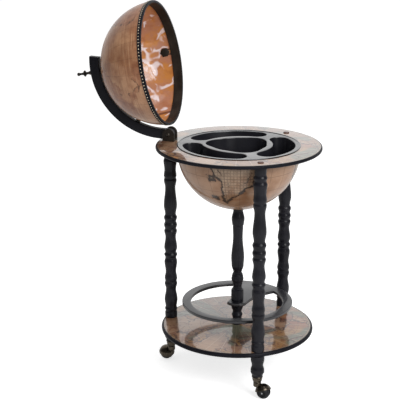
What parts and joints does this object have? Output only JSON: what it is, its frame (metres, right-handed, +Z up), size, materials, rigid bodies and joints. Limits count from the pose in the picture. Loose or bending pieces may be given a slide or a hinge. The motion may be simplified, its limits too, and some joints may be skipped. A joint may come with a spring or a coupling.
{
  "type": "floor globe bar",
  "caption": "Floor-standing globe bar: the upper half of the globe is a hinged lid on a meridian arm over a moulded bottle tray, on turned legs with a bottle ring, a shelf and ball casters.",
  "frame": {"origin": "on the floor, under the middle of the box round the globe bar with its lid open", "axes": "+Z up, -X towards the hinge and the first leg, +Y to the back"},
  "size_m": [0.676, 0.4448, 1.0219],
  "materials": {
    "satin_black_wood": "turned or bent hardwood under satin black lacquer",
    "gloss_black_plastic": "glossy black moulding",
    "black_trim": "satin dark brown-black",
    "globe_shell": "old map print on board, varnished",
    "printed_board": "old map print on board, glossy varnish, black edge",
    "cap_wood": "dark red-brown lacquer",
    "dark_metal": "dark bronze",
    "antique_brass": "antique brass",
    "steel": "plain",
    "wheel_black": "hard black tread"
  },
  "bodies": {
    "stand": {"table_ring": "printed_board", "tray_insert": "gloss_black_plastic", "bowl_shell": "globe_shell", "bowl_screw": "steel", "upper_post": "satin_black_wood", "bottle_ring": "satin_black_wood", "post_stud": "steel", "lower_post": "satin_black_wood", "bottom_shelf": "printed_board", "shelf_screw": "steel", "leg_1": "satin_black_wood", "leg_stud_1": "steel", "leg_screw_1": "steel", "foot_1": "satin_black_wood", "caster_socket_1": "antique_brass", "leg_2": "satin_black_wood", "leg_stud_2": "steel", "leg_screw_2": "steel", "leg_cap_2": "cap_wood", "foot_2": "satin_black_wood", "caster_socket_2": "antique_brass", "leg_3": "satin_black_wood", "leg_stud_3": "steel", "leg_screw_3": "steel", "leg_cap_3": "cap_wood", "foot_3": "satin_black_wood", "caster_socket_3": "antique_brass", "hinge_bracket": "black_trim", "hinge_bolt": "dark_metal", "hinge_nut": "dark_metal", "bracket_screw_outer": "steel", "bracket_screw_inner": "steel"},
    "lid": {"dome_shell": "globe_shell", "dome_liner": "black_trim", "dome_edge_band": "black_trim", "latch_plate_back": "black_trim", "latch_plate_front": "black_trim", "meridian_arm": "satin_black_wood", "pole_spacer": "black_trim", "pole_nut": "steel", "finial": "dark_metal", "rim_spacer": "black_trim", "rim_screw": "steel"},
    "caster_1": {"caster_stem_1": "steel", "caster_hood_1": "antique_brass", "caster_axle_1": "steel"},
    "wheel_1_left": {"caster_wheel_1_left": "wheel_black"},
    "wheel_1_right": {"caster_wheel_1_right": "wheel_black"},
    "caster_2": {"caster_stem_2": "steel", "caster_hood_2": "antique_brass", "caster_axle_2": "steel"},
    "wheel_2_left": {"caster_wheel_2_left": "wheel_black"},
    "wheel_2_right": {"caster_wheel_2_right": "wheel_black"},
    "caster_3": {"caster_stem_3": "steel", "caster_hood_3": "antique_brass", "caster_axle_3": "steel"},
    "wheel_3_left": {"caster_wheel_3_left": "wheel_black"},
    "wheel_3_right": {"caster_wheel_3_right": "wheel_black"}
  },
  "joints": [
    {"name": "lid_hinge", "type": "hinge", "parent": "stand", "child": "lid", "pos_m": [-0.07612, 0, 0.66655], "axis": [0, 1, 0], "range_deg": [0, 100.22]},
    {"name": "caster_1_swivel", "type": "hinge", "parent": "stand", "child": "caster_1", "pos_m": [-0.07612, 0, 0], "axis": [0, 0, 1], "continuous": true},
    {"name": "wheel_1_left_spin", "type": "hinge", "parent": "caster_1", "child": "wheel_1_left", "pos_m": [-0.09243, 0.00761, 0.01835], "axis": [-0.4226, -0.9063, 0], "continuous": true},
    {"name": "wheel_1_right_spin", "type": "hinge", "parent": "caster_1", "child": "wheel_1_right", "pos_m": [-0.09243, 0.00761, 0.01835], "axis": [-0.4226, -0.9063, 0], "continuous": true},
    {"name": "caster_2_swivel", "type": "hinge", "parent": "stand", "child": "caster_2", "pos_m": [0.21146, -0.16603, 0], "axis": [0, 0, 1], "continuous": true},
    {"name": "wheel_2_left_spin", "type": "hinge", "parent": "caster_2", "child": "wheel_2_left", "pos_m": [0.22928, -0.16854, 0.01835], "axis": [0.1392, 0.9903, 0], "continuous": true},
    {"name": "wheel_2_right_spin", "type": "hinge", "parent": "caster_2", "child": "wheel_2_right", "pos_m": [0.22928, -0.16854, 0.01835], "axis": [0.1392, 0.9903, 0], "continuous": true},
    {"name": "caster_3_swivel", "type": "hinge", "parent": "stand", "child": "caster_3", "pos_m": [0.21146, 0.16603, 0], "axis": [0, 0, 1], "continuous": true},
    {"name": "wheel_3_left_spin", "type": "hinge", "parent": "caster_3", "child": "wheel_3_left", "pos_m": [0.2053, 0.18295, 0.01835], "axis": [-0.9397, -0.342, 0], "continuous": true},
    {"name": "wheel_3_right_spin", "type": "hinge", "parent": "caster_3", "child": "wheel_3_right", "pos_m": [0.2053, 0.18295, 0.01835], "axis": [-0.9397, -0.342, 0], "continuous": true}
  ]
}
